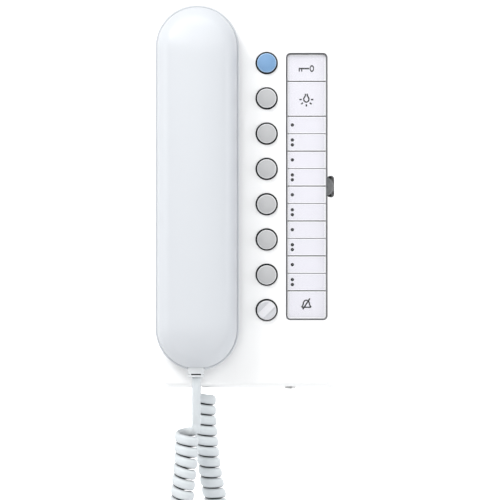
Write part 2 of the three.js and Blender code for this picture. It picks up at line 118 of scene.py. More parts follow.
class Wire:
    # a socket of a finish; sums on it add Math nodes
    def __init__(self, finish, socket):
        self.finish = finish
        self.socket = socket

    def maths(self, operation, first, second):
        return self.finish.add('ShaderNodeMath', {'operation': operation}, {0: first, 1: second})

    def __add__(self, other):
        return self.maths('ADD', self, other)

    def __radd__(self, other):
        return self.maths('ADD', other, self)

    def __sub__(self, other):
        return self.maths('SUBTRACT', self, other)

    def __mul__(self, other):
        return self.maths('MULTIPLY', self, other)

    def __rmul__(self, other):
        return self.maths('MULTIPLY', other, self)


class Finish:
    # one material and its node tree
    def __init__(self, name, **plain):
        self.material = bpy.data.materials.new(name)
        self.material.use_nodes = True
        self.tree = self.material.node_tree
        self.surface = self.tree.nodes['Principled BSDF']
        for words, value in plain.items():
            self.feed(words.replace('_', ' '), value)

    def feed(self, socketName, value):
        self.join(self.surface.inputs[socketName], value)

    def join(self, socket, value):
        if isinstance(value, Wire):
            self.tree.links.new(value.socket, socket)
        else:
            socket.default_value = value

    def add(self, kind, settings=None, inputs=None, out=0):
        node = self.tree.nodes.new(kind)
        for key, value in (settings or {}).items():
            if key == 'stops':
                while len(node.color_ramp.elements) < len(value):
                    node.color_ramp.elements.new(1.0)
                for stop, (spot, shade) in zip(node.color_ramp.elements, value):
                    stop.position = spot
                    stop.color = (shade, shade, shade, 1)
            else:
                setattr(node, key, value)
        for key, value in (inputs or {}).items():
            self.join(node.inputs[key], value)
        return Wire(self, node.outputs[out])

    def mixed(self, share, low, high):
        return self.add('ShaderNodeMix', {'data_type': 'RGBA'}, {0: share, 6: low, 7: high}, 2)

    def spot(self):
        return self.add('ShaderNodeTexCoord', out='Object')

    def noise(self, spot, scale, detail=2.0):
        return self.add('ShaderNodeTexNoise', None, {'Vector': spot, 'Scale': scale, 'Detail': detail}, 'Fac')

    def stretched(self, spot, scale):
        return self.add('ShaderNodeMapping', None, {'Vector': spot, 'Scale': scale})

    def ramp(self, value, *stops):
        return self.add('ShaderNodeValToRGB', {'stops': stops}, {'Fac': value})

    def bump(self, height, distance, strength=1.0):
        normal = self.add('ShaderNodeBump', None,
                          {'Height': height, 'Distance': distance, 'Strength': strength}, 'Normal')
        self.feed('Normal', normal)


def rgba(colour, alpha=1.0):
    return (*colour, alpha)


def shaded(colour, share):
    return tuple(share * part for part in colour)


mouldings = {
    'housingWhite': {'colour': (0.935, 0.935, 0.935), 'rough': 0.46, 'grain': 3600, 'depth': 0.012},
    'handsetWhite': {'colour': (0.6, 0.62, 0.65), 'rough': 0.36, 'grain': 4200, 'depth': 0.006},
    'keyGrey': {'colour': (0.462, 0.465, 0.472), 'rough': 0.5, 'grain': 5200, 'depth': 0.008},
    'keyBlue': {'colour': (0.165, 0.315, 0.53), 'rough': 0.46, 'grain': 5200, 'depth': 0.008},
    'darkPlastic': {'colour': (0.045, 0.046, 0.05), 'rough': 0.55, 'grain': 3000, 'depth': 0.012},
    'wheelGrey': {'colour': (0.22, 0.224, 0.228), 'rough': 0.5, 'grain': 4200, 'depth': 0.012},
    # painted highlight: lighter copies of the key colours, for the bevel ring round each cap
    'greyRimHighlight': {'colour': (0.66, 0.665, 0.675), 'rough': 0.4, 'grain': 5200, 'depth': 0.004},
    'blueRimHighlight': {'colour': (0.3, 0.46, 0.66), 'rough': 0.4, 'grain': 5200, 'depth': 0.004},
    # painted shade: a dark grey for the lower-right flank of the clear key's rib
    'ribPaintedShade': {'colour': (0.3, 0.3, 0.32), 'rough': 0.3, 'grain': 4200, 'depth': 0.004},
    'trayGrey': {'colour': (0.14, 0.14, 0.15), 'rough': 0.5, 'grain': 4200, 'depth': 0.01},
    'rubberBlack': {'colour': (0.028, 0.028, 0.03), 'rough': 0.72, 'grain': 2200, 'depth': 0.02},
    'lampRed': {'colour': (0.42, 0.03, 0.02), 'rough': 0.2, 'grain': 900, 'depth': 0.002},
}


def mouldedPlastic(name, look):
    # fine spark-eroded grain, slow shade changes from the flow of the moulding, and a few duller rubbed spots
    finish = Finish(name)
    spot = finish.spot()
    grain = finish.noise(spot, look['grain'], 3.0)
    flow = finish.noise(finish.stretched(spot, (40.0, 40.0, 9.0)), 1.0)
    rubbed = finish.ramp(finish.noise(spot, 55.0, 4.0), (0.52, 0.0), (0.72, 1.0))
    finish.feed('Base Color', finish.mixed(flow * 0.7 + grain * 0.3,
                                           rgba(shaded(look['colour'], 0.972)), rgba(look['colour'])))
    finish.feed('Roughness', look['rough'] + 0.07 * (grain - 0.5) + 0.05 * rubbed)
    finish.feed('IOR', 1.5)
    finish.bump(grain + 0.4 * flow, look['depth'] * mm)
    return finish.material


def cordPlastic():
    # soft extruded jacket: faint draw lines, satin with a little coat
    finish = Finish('cordWhite', Coat_Weight=0.12, Coat_Roughness=0.35, IOR=1.48)
    spot = finish.spot()
    fine = finish.noise(spot, 2600.0, 2.0)
    patchy = finish.noise(spot, 160.0, 3.0)
    jacket = finish.mixed(patchy, rgba((0.6, 0.635, 0.655)), rgba((0.655, 0.69, 0.71)))
    # painted shade: the inner side of the turns is coloured near-black where shade falls between them
    inner = finish.add('ShaderNodeAttribute', {'attribute_name': 'innerSide'}, out='Fac')
    finish.feed('Base Color', finish.mixed(inner, jacket, rgba((0.02, 0.021, 0.022))))
    finish.feed('Roughness', 0.4 + 0.1 * (patchy - 0.5) + 0.06 * (fine - 0.5))
    finish.bump(fine * 0.5 + patchy, 0.02 * mm)
    return finish.material


def milkyPlastic(name, colour, rough, alpha):
    # clear moulding with a light haze and fine scratches
    finish = Finish(name, IOR=1.49, Alpha=alpha)
    spot = finish.spot()
    haze = finish.noise(spot, 700.0, 3.0)
    scratch = finish.ramp(finish.noise(finish.stretched(spot, (240.0, 240.0, 5200.0)), 1.0, 2.0),
                          (0.62, 0.0), (0.7, 1.0))
    finish.feed('Base Color', finish.mixed(haze, rgba(shaded(colour, 0.94)), rgba(colour)))
    finish.feed('Roughness', rough + 0.05 * haze + 0.12 * scratch)
    finish.bump(haze + scratch * 0.3, 0.004 * mm)
    return finish.material


def labelCard(name, colour):
    # smooth coated card: fibre mottling only just visible
    finish = Finish(name, IOR=1.45)
    spot = finish.spot()
    fibre = finish.noise(finish.stretched(spot, (900.0, 900.0, 260.0)), 1.0, 4.0)
    finish.feed('Base Color', finish.mixed(fibre, rgba(shaded(colour, 0.96)), rgba(colour)))
    finish.feed('Roughness', 0.6 + 0.12 * (fibre - 0.5))
    finish.bump(fibre, 0.01 * mm)
    return finish.material


def printedInk():
    finish = Finish('labelInk', Specular_IOR_Level=0.15)
    wear = finish.noise(finish.spot(), 1800.0, 3.0)
    finish.feed('Base Color', finish.mixed(wear, rgba((0.006, 0.006, 0.007)), rgba((0.02, 0.02, 0.022))))
    finish.feed('Roughness', 0.8 + 0.1 * wear)
    return finish.material


def paleInk():
    finish = Finish('labelPaleInk', Specular_IOR_Level=0.15)
    wear = finish.noise(finish.spot(), 1800.0, 3.0)
    finish.feed('Base Color', finish.mixed(wear, rgba((0.2, 0.2, 0.21)), rgba((0.26, 0.26, 0.27))))
    finish.feed('Roughness', 0.5 + 0.1 * wear)
    return finish.material


def platedSteel():
    finish = Finish('platedSteel', Metallic=1.0)
    spot = finish.spot()
    brushed = finish.noise(finish.stretched(spot, (400.0, 400.0, 5000.0)), 1.0, 3.0)
    dull = finish.ramp(finish.noise(spot, 300.0, 3.0), (0.45, 0.0), (0.65, 1.0))
    finish.feed('Base Color', finish.mixed(dull, rgba((0.64, 0.64, 0.63)), rgba((0.5, 0.5, 0.49))))
    finish.feed('Roughness', 0.24 + 0.14 * brushed + 0.12 * dull)
    finish.bump(brushed, 0.006 * mm)
    return finish.material


def boardGreen():
    # solder mask with buried copper tracks
    finish = Finish('boardGreen', Coat_Weight=0.4, Coat_Roughness=0.15)
    spot = finish.spot()
    tracks = finish.add('ShaderNodeTexVoronoi', {'feature': 'DISTANCE_TO_EDGE', 'distance': 'MANHATTAN'},
                        {'Vector': spot, 'Scale': 260.0}, 'Distance')
    copper = finish.ramp(tracks, (0.06, 1.0), (0.09, 0.0))
    finish.feed('Base Color', finish.mixed(copper, rgba((0.012, 0.11, 0.05)), rgba((0.03, 0.2, 0.1))))
    finish.feed('Roughness', 0.35 + 0.1 * copper)
    finish.bump(copper, 0.02 * mm)
    return finish.material


def makeFinishes():
    made = {name: mouldedPlastic(name, look) for name, look in mouldings.items()}
    made['cordWhite'] = cordPlastic()
    made['keyClear'] = milkyPlastic('keyClear', (0.60, 0.605, 0.63), 0.16, 1.0)
    # painted highlight: a lighter copy of the clear key's colour for the top of its rib
    made['ribPaintedHighlight'] = milkyPlastic('ribPaintedHighlight', (0.72, 0.72, 0.745), 0.2, 1.0)
    made['windowClear'] = milkyPlastic('windowClear', (0.85, 0.85, 0.88), 0.06, 0.04)
    made['plugClear'] = milkyPlastic('plugClear', (0.70, 0.72, 0.735), 0.12, 1.0)
    made['labelCard'] = labelCard('labelCard', (0.9, 0.9, 0.915))
    made['labelTint'] = labelCard('labelTint', (0.73, 0.72, 0.775))
    made['labelInk'] = printedInk()
    made['labelPaleInk'] = paleInk()
    made['platedSteel'] = platedSteel()
    made['boardGreen'] = boardGreen()
    return made


finishes = makeFinishes()
print('finishes:', len(finishes))

finishOfSlot = {
    'housing_white': 'housingWhite', 'handset_white': 'handsetWhite', 'key_grey': 'keyGrey',
    'key_blue': 'keyBlue', 'key_clear': 'keyClear', 'dark_plastic': 'darkPlastic',
    'wheel_grey': 'wheelGrey', 'label_paper': 'labelCard', 'window_clear': 'windowClear',
    'black_rubber': 'rubberBlack', 'board_green': 'boardGreen', 'steel': 'platedSteel',
    'cord_white': 'cordWhite', 'plug_clear': 'plugClear', 'lamp_red': 'lampRed',
}


def roundRect(width, height, radius, centre=(0, 0), steps=8):
    points = []
    for turn, (sideX, sideY) in enumerate([(1, -1), (1, 1), (-1, 1), (-1, -1)]):
        middleX = centre[0] + sideX * (width / 2 - radius)
        middleY = centre[1] + sideY * (height / 2 - radius)
        for k in range(steps + 1):
            angle = math.radians(90 * (turn - 1 + k / steps))
            points.append((middleX + radius * math.cos(angle), middleY + radius * math.sin(angle)))
    return points


def circle(radius, centre=(0, 0), sides=64):
    return [(centre[0] + radius * math.cos(2 * math.pi * k / sides),
             centre[1] + radius * math.sin(2 * math.pi * k / sides)) for k in range(sides)]


def atDepth(outline, out):
    return [(x, up, out) for x, up in outline]


def skinned(form, rings):
    # faces between neighbouring rings, and the rows of corners they stand on
    rows = [[form.verts.new(place(*point)) for point in ring] for ring in rings]
    for low, high in zip(rows, rows[1:]):
        for i in range(len(low)):
            j = (i + 1) % len(low)
            form.faces.new((low[i], low[j], high[j], high[i]))
    return rows


def addLoft(form, rings):
    rows = skinned(form, rings)
    form.faces.new(rows[0][::-1])
    form.faces.new(rows[-1])


def loft(rings):
    # a stack of rings, closed at both ends
    form = bmesh.new()
    addLoft(form, rings)
    return form


def lathe(profile, centre=(0, 0), sides=64):
    return loft([atDepth(circle(radius, centre, sides), out) for radius, out in profile])


def roundedEdge(out, radius, steps=6):
    # (inset, out) pairs round a front edge, from the side wall to the face
    turns = [math.radians(90 * k / steps) for k in range(steps + 1)]
    return [(radius * (1 - math.cos(a)), out - radius + radius * math.sin(a)) for a in turns]


def raw(name, form):
    bmesh.ops.recalc_face_normals(form, faces=form.faces)
    mesh = bpy.data.meshes.new(name)
    form.to_mesh(mesh)
    form.free()
    made = bpy.data.objects.new(name, mesh)
    bpy.context.scene.collection.objects.link(made)
    return made


def carve(target, form, operation='DIFFERENCE'):
    tool = raw('cutter', form)
    step = target.modifiers.new('carve', 'BOOLEAN')
    step.operation = operation
    step.solver = 'EXACT'
    step.object = tool
    graph = bpy.context.evaluated_depsgraph_get()
    mesh = bpy.data.meshes.new_from_object(target.evaluated_get(graph))
    target.modifiers.clear()
    target.data = mesh
    bpy.data.objects.remove(tool)


def crease(target, angle=32):
    # smooth shading between sharp edges, with the flat faces kept flat
    form = bmesh.new()
    form.from_mesh(target.data)
    for face in form.faces:
        face.smooth = True
    for edge in form.edges:
        edge.smooth = edge.calc_face_angle(0) < math.radians(angle)
    form.to_mesh(target.data)
    form.free()
    weighted = target.modifiers.new('evenShade', 'WEIGHTED_NORMAL')
    weighted.keep_sharp = True


def dress(piece, finishName, body, slot, *stoodFor, angle=32):
    piece.data.materials.clear()
    piece.data.materials.append(finishes[finishName])
    crease(piece, angle)
    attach(piece, body)
    if stoodFor:
        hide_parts(*stoodFor)
    return piece


def addMaterialPart(piece, finishName, picks):
    # gives the faces that picks(centre) chooses a second finish; centre is in the front view's millimetres
    piece.data.materials.append(finishes[finishName])
    last = len(piece.data.materials) - 1
    for face in piece.data.polygons:
        middle = face.center
        if picks(middle.x / mm, middle.z / mm, -middle.y / mm):
            face.material_index = last


cord = {
    'leadWidth': 4.2,
    'coilWidth': 4.8,      # the coiled cable is pressed a little flatter
    'thickness': 3.0,
    'coilDiameter': 11.8,
    'tightPitch': 5.4,
    'bendRoom': 5.2,       # pitch kept on the inside of a bend
    'openBelow': -186,     # here the turns open and the painted inner shade fades out
    'openOver': 20,
    'joinPull': 5.0,
    'joinSteps': (14, 10),
    'sides': 18,
    'stepsPerTurn': 30,
    'square': 2.35,        # roundness of the section: 2 is an oval
}

frontLead = [(-26.9, -92.0, 31.4), (-26.9, -104, 30.8), (-26.9, -115, 29.2)]
coilRoute = [
    (-31.6, -118, 32), (-32, -132, 32), (-33.4, -146, 31.6), (-35.2, -165, 30.5), (-36.3, -182, 28.8),
    (-35.6, -195.5, 26.7), (-32.4, -206.5, 24.2), (-25.6, -212.5, 21.4), (-18.8, -208.5, 18.4),
    (-14.8, -198, 16), (-13.9, -184, 14), (-15.5, -168, 12.7), (-18.6, -152.5, 12.1), (-20.5, -142, 12),
    (-22.2, -127, 12), (-23.3, -112, 12), (-23.5, -103.2, 12),
]
baseLead = [(-27.3, -101.2, 12), (-27.3, -99, 12), (-27.3, -95.9, 12)]


def throughPoints(points, step=0.4):
    # a smooth line through the points, then even steps along it
    spots = [Vector(p) for p in points]
    spots = [spots[0] * 2 - spots[1], *spots, spots[-1] * 2 - spots[-2]]
    fine = []
    for a, b, c, d in zip(spots, spots[1:], spots[2:], spots[3:]):
        for k in range(40):
            t = k / 40
            fine.append(0.5 * ((2 * b) + (c - a) * t + (2 * a - 5 * b + 4 * c - d) * t * t
                               + (3 * b - a - 3 * c + d) * t * t * t))
    fine.append(spots[-2])
    even, carried = [fine[0]], 0.0
    for a, b in zip(fine, fine[1:]):
        span = (b - a).length
        while carried + span >= step:
            share = (step - carried) / span
            a = a.lerp(b, share)
            even.append(a)
            span = (b - a).length
            carried = 0.0
        carried += span
    return even


def evened(line, rounds=30):
    for _ in range(rounds):
        line = [line[0], *[(a + 2 * b + c) / 4 for a, b, c in zip(line, line[1:], line[2:])], line[-1]]
    return line


def coilTurns(axis, stretch):
    # (centre, width direction, way outwards) along the coil, turning left-handed about its axis
    turnRadius = (cord['coilDiameter'] - cord['thickness']) / 2
    side = Vector((1, 0, 0))
    angle = 0.0
    line = []
    for i in range(1, len(axis) - 1):
        ahead = (axis[i + 1] - axis[i - 1]).normalized()
        span = (axis[i + 1] - axis[i]).length
        bend = (axis[i + 1] - 2 * axis[i] + axis[i - 1]).length / span ** 2
        side = (side - ahead * side.dot(ahead)).normalized()
        third = ahead.cross(side)
        pitch = stretch * max(cord['tightPitch'], cord['bendRoom'] / max(0.35, 1 - turnRadius * bend))
        pieces = max(1, math.ceil(span / pitch * cord['stepsPerTurn']))
        for k in range(pieces):
            turn = angle - 2 * math.pi * k * span / pieces / pitch
            outwards = side * math.cos(turn) + third * math.sin(turn)
            line.append((axis[i].lerp(axis[i + 1], k / pieces) + turnRadius * outwards, ahead, outwards))
        angle -= 2 * math.pi * span / pitch
    return line, angle, side, third


def helixLine():
    # the coil, with its pitch trimmed so that its last turn ends on the left, under the housing's lead
    axis = evened(throughPoints(coilRoute))
    _, angle, side, third = coilTurns(axis, 1.0)
    left = Vector((-1, 0, 0))
    wanted = math.atan2(left.dot(third), left.dot(side))
    wanted += 2 * math.pi * round((angle - wanted) / (2 * math.pi))
    return coilTurns(axis, angle / wanted)[0]


def bridge(start, startWay, end, endWay, pull, steps):
    # a Hermite stretch from one point and heading to another
    spots = []
    for k in range(1, steps):
        t = k / steps
        spots.append(start * (2 * t ** 3 - 3 * t ** 2 + 1) + startWay * pull * (t ** 3 - 2 * t ** 2 + t)
                     + end * (3 * t ** 2 - 2 * t ** 3) + endWay * pull * (t ** 3 - t ** 2))
    return spots


def cordLine():
    # the whole cable: straight lead into the back of the coil, coil, short lead; each point has its
    # width direction and the coil's outward direction, which is zero off the coil
    coil = helixLine()
    rearmost = min(range(2 * cord['stepsPerTurn']), key=lambda i: coil[i][0].z)
    coil = coil[rearmost // 2:]     # it starts at its back right, where the lead comes in
    up, across, none = Vector((0, 1, 0)), Vector((1, 0, 0)), Vector((0, 0, 0))
    lead = [(p, across, none) for p in throughPoints(frontLead, 1.0)]
    outOfLead = (lead[-1][0] - lead[-2][0]).normalized()
    intoCoil = (coil[1][0] - coil[0][0]).normalized()
    steps = cord['joinSteps']
    first = bridge(lead[-1][0], outOfLead, coil[0][0], intoCoil, cord['joinPull'], steps[0])
    first = [(p, across.lerp(coil[0][1], (k + 1) / steps[0]), none) for k, p in enumerate(first)]
    tail = [Vector(p) for p in baseLead]
    outOfCoil = (coil[-1][0] - coil[-2][0]).normalized()
    second = bridge(coil[-1][0], outOfCoil, tail[0], up, cord['joinPull'], steps[1])
    second = [(p, coil[-1][1].lerp(across, (k + 1) / steps[1]), none) for k, p in enumerate(second)]
    coilFrom = len(lead) + len(first)
    line = [*lead, *first, *coil, *second, *[(p, across, none) for p in tail]]
    return line, coilFrom, coilFrom + len(coil)


def makeCord():
    line, coilFrom, coilTo = cordLine()
    centres = [p for p, _, _ in line]
    power = 2 / cord['square']
    fade = cord['stepsPerTurn']
    rings, inner = [], []
    held = None
    for i, (centre, way, outwards) in enumerate(line):
        ahead = (centres[min(i + 1, len(line) - 1)] - centres[max(i - 1, 0)]).normalized()
        wide = (way - ahead * way.dot(ahead)).normalized()
        if held is not None and wide.dot(held) < 0:
            wide = -wide
        held = wide
        thick = ahead.cross(wide)
        # the turns open and let light in at the bottom of the loop and at both ends of the coil, so the
        # painted shade on their inner side fades out there
        closed = min((i - coilFrom) / fade, (coilTo - i) / fade,
                     (centre.y - cord['openBelow']) / cord['openOver'])
        share = min(1.0, max(0.0, closed))
        # the cable is pressed wider over the first and last steps of the coil
        flat = min(1.0, max(0.0, min(i - coilFrom + 12, len(line) - i - 4) / 24))
        width = cord['leadWidth'] + (cord['coilWidth'] - cord['leadWidth']) * flat
        ring = []
        for k in range(cord['sides']):
            a = 2 * math.pi * k / cord['sides']
            c, s = math.cos(a), math.sin(a)
            spot = (wide * (width / 2 * math.copysign(abs(c) ** power, c))
                    + thick * (cord['thickness'] / 2 * math.copysign(abs(s) ** power, s)))
            ring.append(tuple(centre + spot))
            # painted shade: how far each point of the section is on the inner side of its turn, for the
            # near-black colour
            inner.append(share * min(1.0, max(0.0, 0.8 - spot.dot(outwards) / cord['thickness'] * 2)))
        rings.append(ring)
    piece = raw('curly_cord', loft(rings))
    piece.data.materials.append(finishes['cordWhite'])
    for face in piece.data.polygons:
        face.use_smooth = True
    # the painted shade mask read by the cord's material
    mask = piece.data.attributes.new('innerSide', 'FLOAT', 'POINT')
    mask.data.foreach_set('value', inner)
    length = sum((b - a).length for a, b in zip(centres, centres[1:])) * mm
    path = [list(place(*p)) for p in centres]
    place(-22.5, -205, 22)
    place(-25.75, -205, 25.25)
    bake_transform(piece)
    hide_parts('cord_lead_handset', 'cord_coil_front', 'cord_coil_rear', 'cord_lead_base')
    print('cord:', round(length, 3), 'm in', len(line), 'steps')
    return piece, length, path


housing = {
    'width': 91, 'height': 202.6, 'faceOut': 24, 'backOut': 0.6, 'wall': 2.2,
    'corner': 4, 'edge': 1.7, 'insetLeft': 2, 'insetRight': 5, 'insetEnds': 4.6,
    'earFloor': 12.5, 'micFloor': 14.5, 'recessWall': 3, 'foot': -106,
}
notch = {'left': 38.0, 'right': 41.95, 'half': 5.35, 'floor': 12, 'round': 1.6}
soundSlots = {'x': -23, 'rise': (20, 25, 30, 35, 40), 'length': 18, 'height': 2}
footScrew = {'x': 20, 'out': 9, 'hole': 1.6, 'seat': 3.0, 'seatUp': -98.9, 'deep': -93}
keys = {
    'count': 8, 'pitch': 17.6, 'x': 7.96, 'middle': 2.2, 'radius': 4.8, 'hole': 5.55,
    'proud': 1.9, 'back': 18.5, 'travel': 1.2,
}
label = {
    'x': 27.95, 'width': 20.8, 'height': 133.4, 'radius': 2.3, 'floor': 21, 'tray': 21.9, 'rim': 0.4,
    'bed': 1.2, 'bedCorner': 2.8, 'gap': 0.3,
}
handset = {
    'x': -26.4, 'y': 1.5, 'width': 41.3, 'length': 180, 'back': 25.2, 'seam': 33.6, 'front': 46,
    'seamInset': 1.1, 'earCup': 13.4, 'earBack': 14.5, 'micCup': 10.5, 'micBack': 16.5, 'screws': 40,
    'straightSteps': 80, 'arcSteps': 44,
}
cupUp = (handset['length'] - handset['width']) / 2
earSpot = (handset['x'], handset['y'] + cupUp)
micSpot = (handset['x'], handset['y'] - cupUp)
hook = {'up': 2, 'hole': 3.3, 'radius': 2.6, 'tip': 24.9, 'edge': 0.8}
cableSlot = {'half': 2.5, 'top': -94, 'front': 14.1}
plugShape = {
    'width': 7.7, 'depth': 6.6, 'slotWidth': 4.9, 'slotHeight': 0.66, 'slotDeep': 2.2,
    'contacts': 4, 'contactPitch': 1.27, 'contactWidth': 0.5, 'contactLong': 3.5,
    'stepUp': 1.1, 'stepHeight': 0.35,
}
plugs = {
    'base': {'body': 'housing', 'x': -27.3, 'out': 12, 'bottom': -95.6, 'top': -84.5, 'slot': -93.2},
    'handset': {'body': 'handset', 'x': -26.9, 'out': 31.4, 'bottom': -91.7, 'top': -74.5, 'slot': -90.3},
}
mouth = {'half': 4.15, 'up': (-100, -79), 'deep': 3.6, 'open': 6}     # for the handset's plug
wheel = {'x': 36.7, 'radius': 5.2, 'back': 16.8, 'front': 19.6, 'teeth': 36, 'bore': 1.8}


def keyUp(index):
    return keys['middle'] + keys['pitch'] * ((keys['count'] - 1) / 2 - index)


def drafted(outline, out):
    # the sides draw in towards the front, each by its own amount
    rise = out / housing['faceOut']
    points = []
    for x, up in outline:
        across = x / housing['width'] + 0.5
        x += rise * (housing['insetLeft'] * (1 - across) - housing['insetRight'] * across)
        points.append((x, up * (1 - rise * housing['insetEnds'] * 2 / housing['height']), out))
    return points


def housingRing(inset, out):
    corner = max(0.4, housing['corner'] - 0.6 * inset)
    return drafted(roundRect(housing['width'] - 2 * inset, housing['height'] - 2 * inset, corner), out)


def flaredHole(outlineAt, low, face, flare, steps=4):
    # a cutter whose mouth opens out in a small round
    rings = [outlineAt(0, low)]
    for k in range(steps + 1):
        a = math.radians(90 * k / steps)
        rings.append(outlineAt(flare * (1 - math.cos(a)), face - flare + flare * math.sin(a)))
    rings.append(outlineAt(flare, face + 2))
    return loft(rings)


def roundHole(radius, centre, low, face, flare=0.3, sides=72):
    return flaredHole(lambda grow, out: atDepth(circle(radius + grow, centre, sides), out), low, face, flare)


def boxForm(x0, x1, up0, up1, out0, out1):
    outline = [(x0, up0), (x1, up0), (x1, up1), (x0, up1)]
    return loft([atDepth(outline, out0), atDepth(outline, out1)])


def standing(profile, centre, sides=32):
    # a lathe whose axis runs up the wall; profile is (radius, up)
    x, out = centre
    return loft([[(x + a, up, out + b) for a, b in circle(radius, (0, 0), sides)] for radius, up in profile])


def makeCover():
    back, face, wall = housing['backOut'], housing['faceOut'], housing['wall']
    outer = [housingRing(0.25, back), housingRing(0, back + 0.3), housingRing(0, face * 0.5)]
    outer += [housingRing(inset, out) for inset, out in roundedEdge(face, housing['edge'])]
    inner = [housingRing(wall, back), housingRing(wall, face - wall)]
    cover = raw('housing_shell', loft([*inner[::-1], *outer]))

    recesses = [(earSpot, handset['earCup'], housing['earFloor']),
                (micSpot, handset['micCup'], housing['micFloor'])]
    for spot, radius, floor in recesses:
        outside = radius + housing['recessWall']
        carve(cover, lathe([(outside, floor - 2), (outside, face - wall + 0.6)], spot), 'UNION')
        carve(cover, roundHole(radius + 1, spot, floor, face, 1.0, 96))
    bed = roundRect(label['width'] + 2 * label['bed'], label['height'] + 2 * label['bed'], label['bedCorner'],
                    (label['x'] - label['bed'] / 2, keys['middle']))
    carve(cover, loft([atDepth(bed, label['floor'] - 0.9), atDepth(bed, face - wall + 0.6)]), 'UNION')
    carve(cover, flaredHole(
        lambda grow, out: atDepth(roundRect(label['width'] + 2 * grow, label['height'] + 2 * grow,
                                            label['radius'] + grow, (label['x'], keys['middle'])), out),
        label['floor'], face, 0.2))
    for i in range(keys['count']):
        carve(cover, roundHole(keys['hole'], (keys['x'], keyUp(i)), face - wall - 1, face, 0.25))
    shape = roundRect(notch['right'] - notch['left'], 2 * notch['half'], notch['round'],
                      ((notch['left'] + notch['right']) / 2, keys['middle']), 6)
    carve(cover, loft([atDepth(shape, notch['floor']), atDepth(shape, face + 2)]))
    for up in soundSlots['rise']:
        slot = roundRect(soundSlots['length'], soundSlots['height'], 0.98, (soundSlots['x'], up), 6)
        carve(cover, loft([atDepth(slot, face - wall - 1), atDepth(slot, face + 1)]))
    carve(cover, roundHole(hook['hole'], (handset['x'], hook['up']), face - wall - 1, face, 0.3, 48))
    middle, half = plugs['base']['x'], cableSlot['half']
    carve(cover, boxForm(middle - half, middle + half, housing['foot'], cableSlot['top'],
                         -4, cableSlot['front']))
    screwAt = (footScrew['x'], footScrew['out'])
    for radius, top in [(footScrew['hole'], footScrew['deep']), (footScrew['seat'], footScrew['seatUp'])]:
        carve(cover, standing([(radius, housing['foot'] + 1), (radius, top)], screwAt))
    return dress(cover, 'housingWhite', 'housing', 'housing_white', 'housing_cover')


def pebble(inset):
    # the handset's outline drawn in by inset, always with the same number of points
    straightSteps, arcSteps = handset['straightSteps'], handset['arcSteps']
    radius = handset['width'] / 2 - inset
    points = []
    for sign in (1, -1):
        for k in range(arcSteps):
            a = math.pi * k / arcSteps + (0 if sign > 0 else math.pi)
            points.append((radius * math.cos(a), sign * cupUp + radius * math.sin(a)))
        for k in range(straightSteps):
            points.append((-sign * radius, sign * cupUp * (1 - 2 * k / straightSteps)))
    return points


dome = {'crown': 58, 'endRadius': 30, 'straight': 66, 'edge': 6.6, 'lip': 34.5}


def domeOut(x, up, inset, wall=0.0):
    # height of the front shell: a crowned back that rolls down at both ends and round its edge
    beyond = max(0.0, abs(up) - dome['straight'])
    crown = dome['crown'] - math.sqrt(dome['crown'] ** 2 - x * x)
    ends = dome['endRadius'] - math.sqrt(dome['endRadius'] ** 2 - min(beyond, 29) ** 2)
    top = handset['front'] - crown - ends
    near = min(1.0, max(0.0, inset / dome['edge']))
    return dome['lip'] + (top - dome['lip']) * math.sqrt(1 - (1 - near) ** 2) - wall


domeInsets = [0, 0.03, 0.1, 0.22, 0.4, 0.65, 0.95, 1.3, 1.75, 2.3, 3.0, 3.8, 4.7, 5.6, 6.6]
domeInsets += [8, 10, 12.5, 15, 17.2]


def onHandset(points):
    return [(handset['x'] + x, handset['y'] + up, out) for x, up, out in points]


def domeRings(start, wall):
    rings = []
    for inset in domeInsets:
        outline = pebble(start + inset)
        rings.append(onHandset([(x, up, domeOut(x, up, inset, wall)) for x, up in outline]))
    return rings


def closeMiddle(form, row):
    # closes the narrow slot left along the middle: rungs across the straight part, a cap at each end
    straightSteps, arcSteps = handset['straightSteps'], handset['arcSteps']
    half = arcSteps + straightSteps
    for k in range(straightSteps):
        a = arcSteps + k
        b = half + arcSteps + straightSteps - k
        form.faces.new((row[a], row[(a + 1) % (2 * half)], row[(b - 1) % (2 * half)], row[b % (2 * half)]))
    form.faces.new(row[0:arcSteps + 1])
    form.faces.new(row[half:half + arcSteps + 1])


def plugMouth(front):
    x, out = plugs['handset']['x'], plugs['handset']['out']
    return boxForm(x - mouth['half'], x + mouth['half'], *mouth['up'], out - mouth['deep'], out + front)


def makeFrontShell():
    wall = 2.2
    start = handset['seamInset']
    seamOut = handset['seam'] + 0.3
    outer = domeRings(start, 0.0)
    inner = domeRings(start + wall, wall)
    rim = [
        onHandset([(x, up, seamOut) for x, up in pebble(start + wall)]),
        onHandset([(x, up, seamOut) for x, up in pebble(start + 0.25)]),
        onHandset([(x, up, seamOut + 0.25) for x, up in pebble(start)]),
    ]
    form = bmesh.new()
    innerKept = [ring for ring, inset in zip(inner, domeInsets) if start + wall + inset < 19]
    rows = skinned(form, [*innerKept[::-1], *rim, *outer])
    closeMiddle(form, rows[0])
    closeMiddle(form, rows[-1])
    shell = raw('handset_front', form)
    carve(shell, plugMouth(mouth['deep']))
    return dress(shell, 'handsetWhite', 'handset', 'handset_white', 'handset_front_shell', angle=50)


def tubRing(inset, out):
    return onHandset([(x, up, out) for x, up in pebble(inset)])


